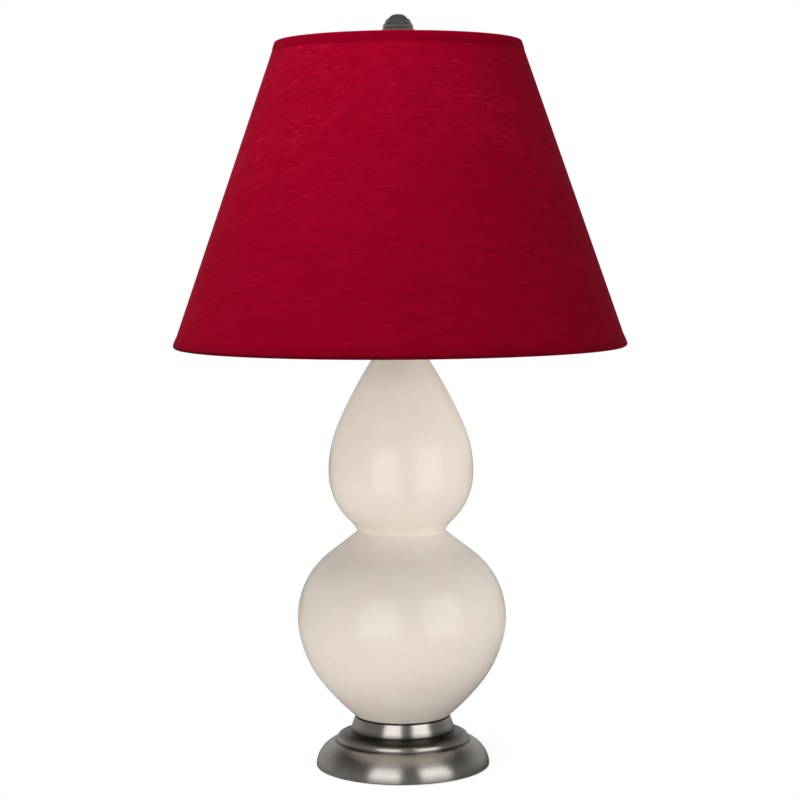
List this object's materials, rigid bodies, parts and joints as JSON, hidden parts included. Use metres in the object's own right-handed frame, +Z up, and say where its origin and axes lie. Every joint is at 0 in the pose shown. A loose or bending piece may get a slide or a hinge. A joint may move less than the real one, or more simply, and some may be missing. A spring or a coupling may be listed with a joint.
{
  "type": "table lamp",
  "caption": "Double gourd table lamp: glazed ceramic body on a spun metal base, with a tapered fabric shade on a harp, a bulb socket and a beaded finial.",
  "frame": {"origin": "centre of the foot on the table, under the lamp's axis", "axes": "+Z up along the lamp's axis, -Y towards the front with the switch knob, harp in the XZ plane"},
  "size_m": [0.3471, 0.3472, 0.578],
  "materials": {
    "felt": "dense dark felt pad",
    "pewter": "antique silver, spun and lightly brushed",
    "iron": "plain casting",
    "black_plastic": "moulded black",
    "rubber_gasket": "thin dark ring",
    "ivory_glaze": "glossy bone white glaze",
    "zinc_steel": "zinc plated",
    "nickel": "satin nickel plate",
    "liner_card": "dark insulating card",
    "phenolic": "dark moulded phenolic",
    "brass_contact": "bright brass",
    "thread_shell": "thin bright pressing",
    "bulb_glass": "frosted white",
    "bulb_insulator": "dark vitrite with a soldered tip",
    "red_fabric": "ruby slub weave, folded hems",
    "shade_lining": "off-white styrene lining",
    "shade_wire": "thin lacquered wire"
  },
  "bodies": {
    "lamp_body": {"foot_felt": "felt", "base_shell": "pewter", "base_weight": "iron", "cord_bushing": "black_plastic", "seat_gasket": "rubber_gasket", "gourd_body": "ivory_glaze", "threaded_pipe": "zinc_steel", "lock_washer": "zinc_steel", "lock_nut": "zinc_steel", "vase_cap": "pewter", "check_ring": "pewter", "neck_tube": "pewter", "harp_saddle": "nickel", "socket_cap": "nickel", "cap_set_screw": "zinc_steel", "socket_shell": "nickel", "socket_liner": "liner_card", "socket_core": "phenolic", "terminal_screws": "brass_contact", "screw_shell": "thread_shell", "centre_contact": "brass_contact"},
    "switch": {"switch_stem": "phenolic", "switch_knob": "black_plastic"},
    "bulb": {"bulb_glass": "bulb_glass", "bulb_cap": "thread_shell", "bulb_contact": "bulb_insulator"},
    "harp": {"harp_bow": "nickel"},
    "sleeve_left": {"harp_sleeve_left": "nickel"},
    "sleeve_right": {"harp_sleeve_right": "nickel"},
    "stud": {"swivel_stud": "nickel"},
    "shade": {"shade_fabric": "red_fabric", "shade_liner": "shade_lining", "top_trim": "red_fabric", "bottom_trim": "red_fabric", "bottom_ring": "shade_wire", "spider": "shade_wire"},
    "finial": {"finial": "pewter"}
  },
  "joints": [
    {"name": "switch_turn", "type": "hinge", "parent": "lamp_body", "child": "switch", "pos_m": [0, -0.02, 0.381], "axis": [0, -1, 0], "continuous": true},
    {"name": "bulb_lift", "type": "slide", "parent": "lamp_body", "child": "bulb", "axis": [0, 0, 1], "range_m": [0, 0.026]},
    {"name": "harp_lift", "type": "slide", "parent": "lamp_body", "child": "harp", "axis": [0, 0, 1], "range_m": [0, 0.05]},
    {"name": "sleeve_left_slide", "type": "slide", "parent": "harp", "child": "sleeve_left", "axis": [0, 0, 1], "range_m": [0, 0.014]},
    {"name": "sleeve_right_slide", "type": "slide", "parent": "harp", "child": "sleeve_right", "axis": [0, 0, 1], "range_m": [0, 0.014]},
    {"name": "shade_turn", "type": "hinge", "parent": "harp", "child": "stud", "pos_m": [0, 0, 0.549], "axis": [0, 0, 1], "continuous": true},
    {"name": "shade_lift", "type": "slide", "parent": "stud", "child": "shade", "axis": [0, 0, 1], "range_m": [0, 0.245]},
    {"name": "finial_turn", "type": "hinge", "parent": "shade", "child": "finial", "pos_m": [0, 0, 0.56], "axis": [0, 0, 1], "continuous": true}
  ]
}
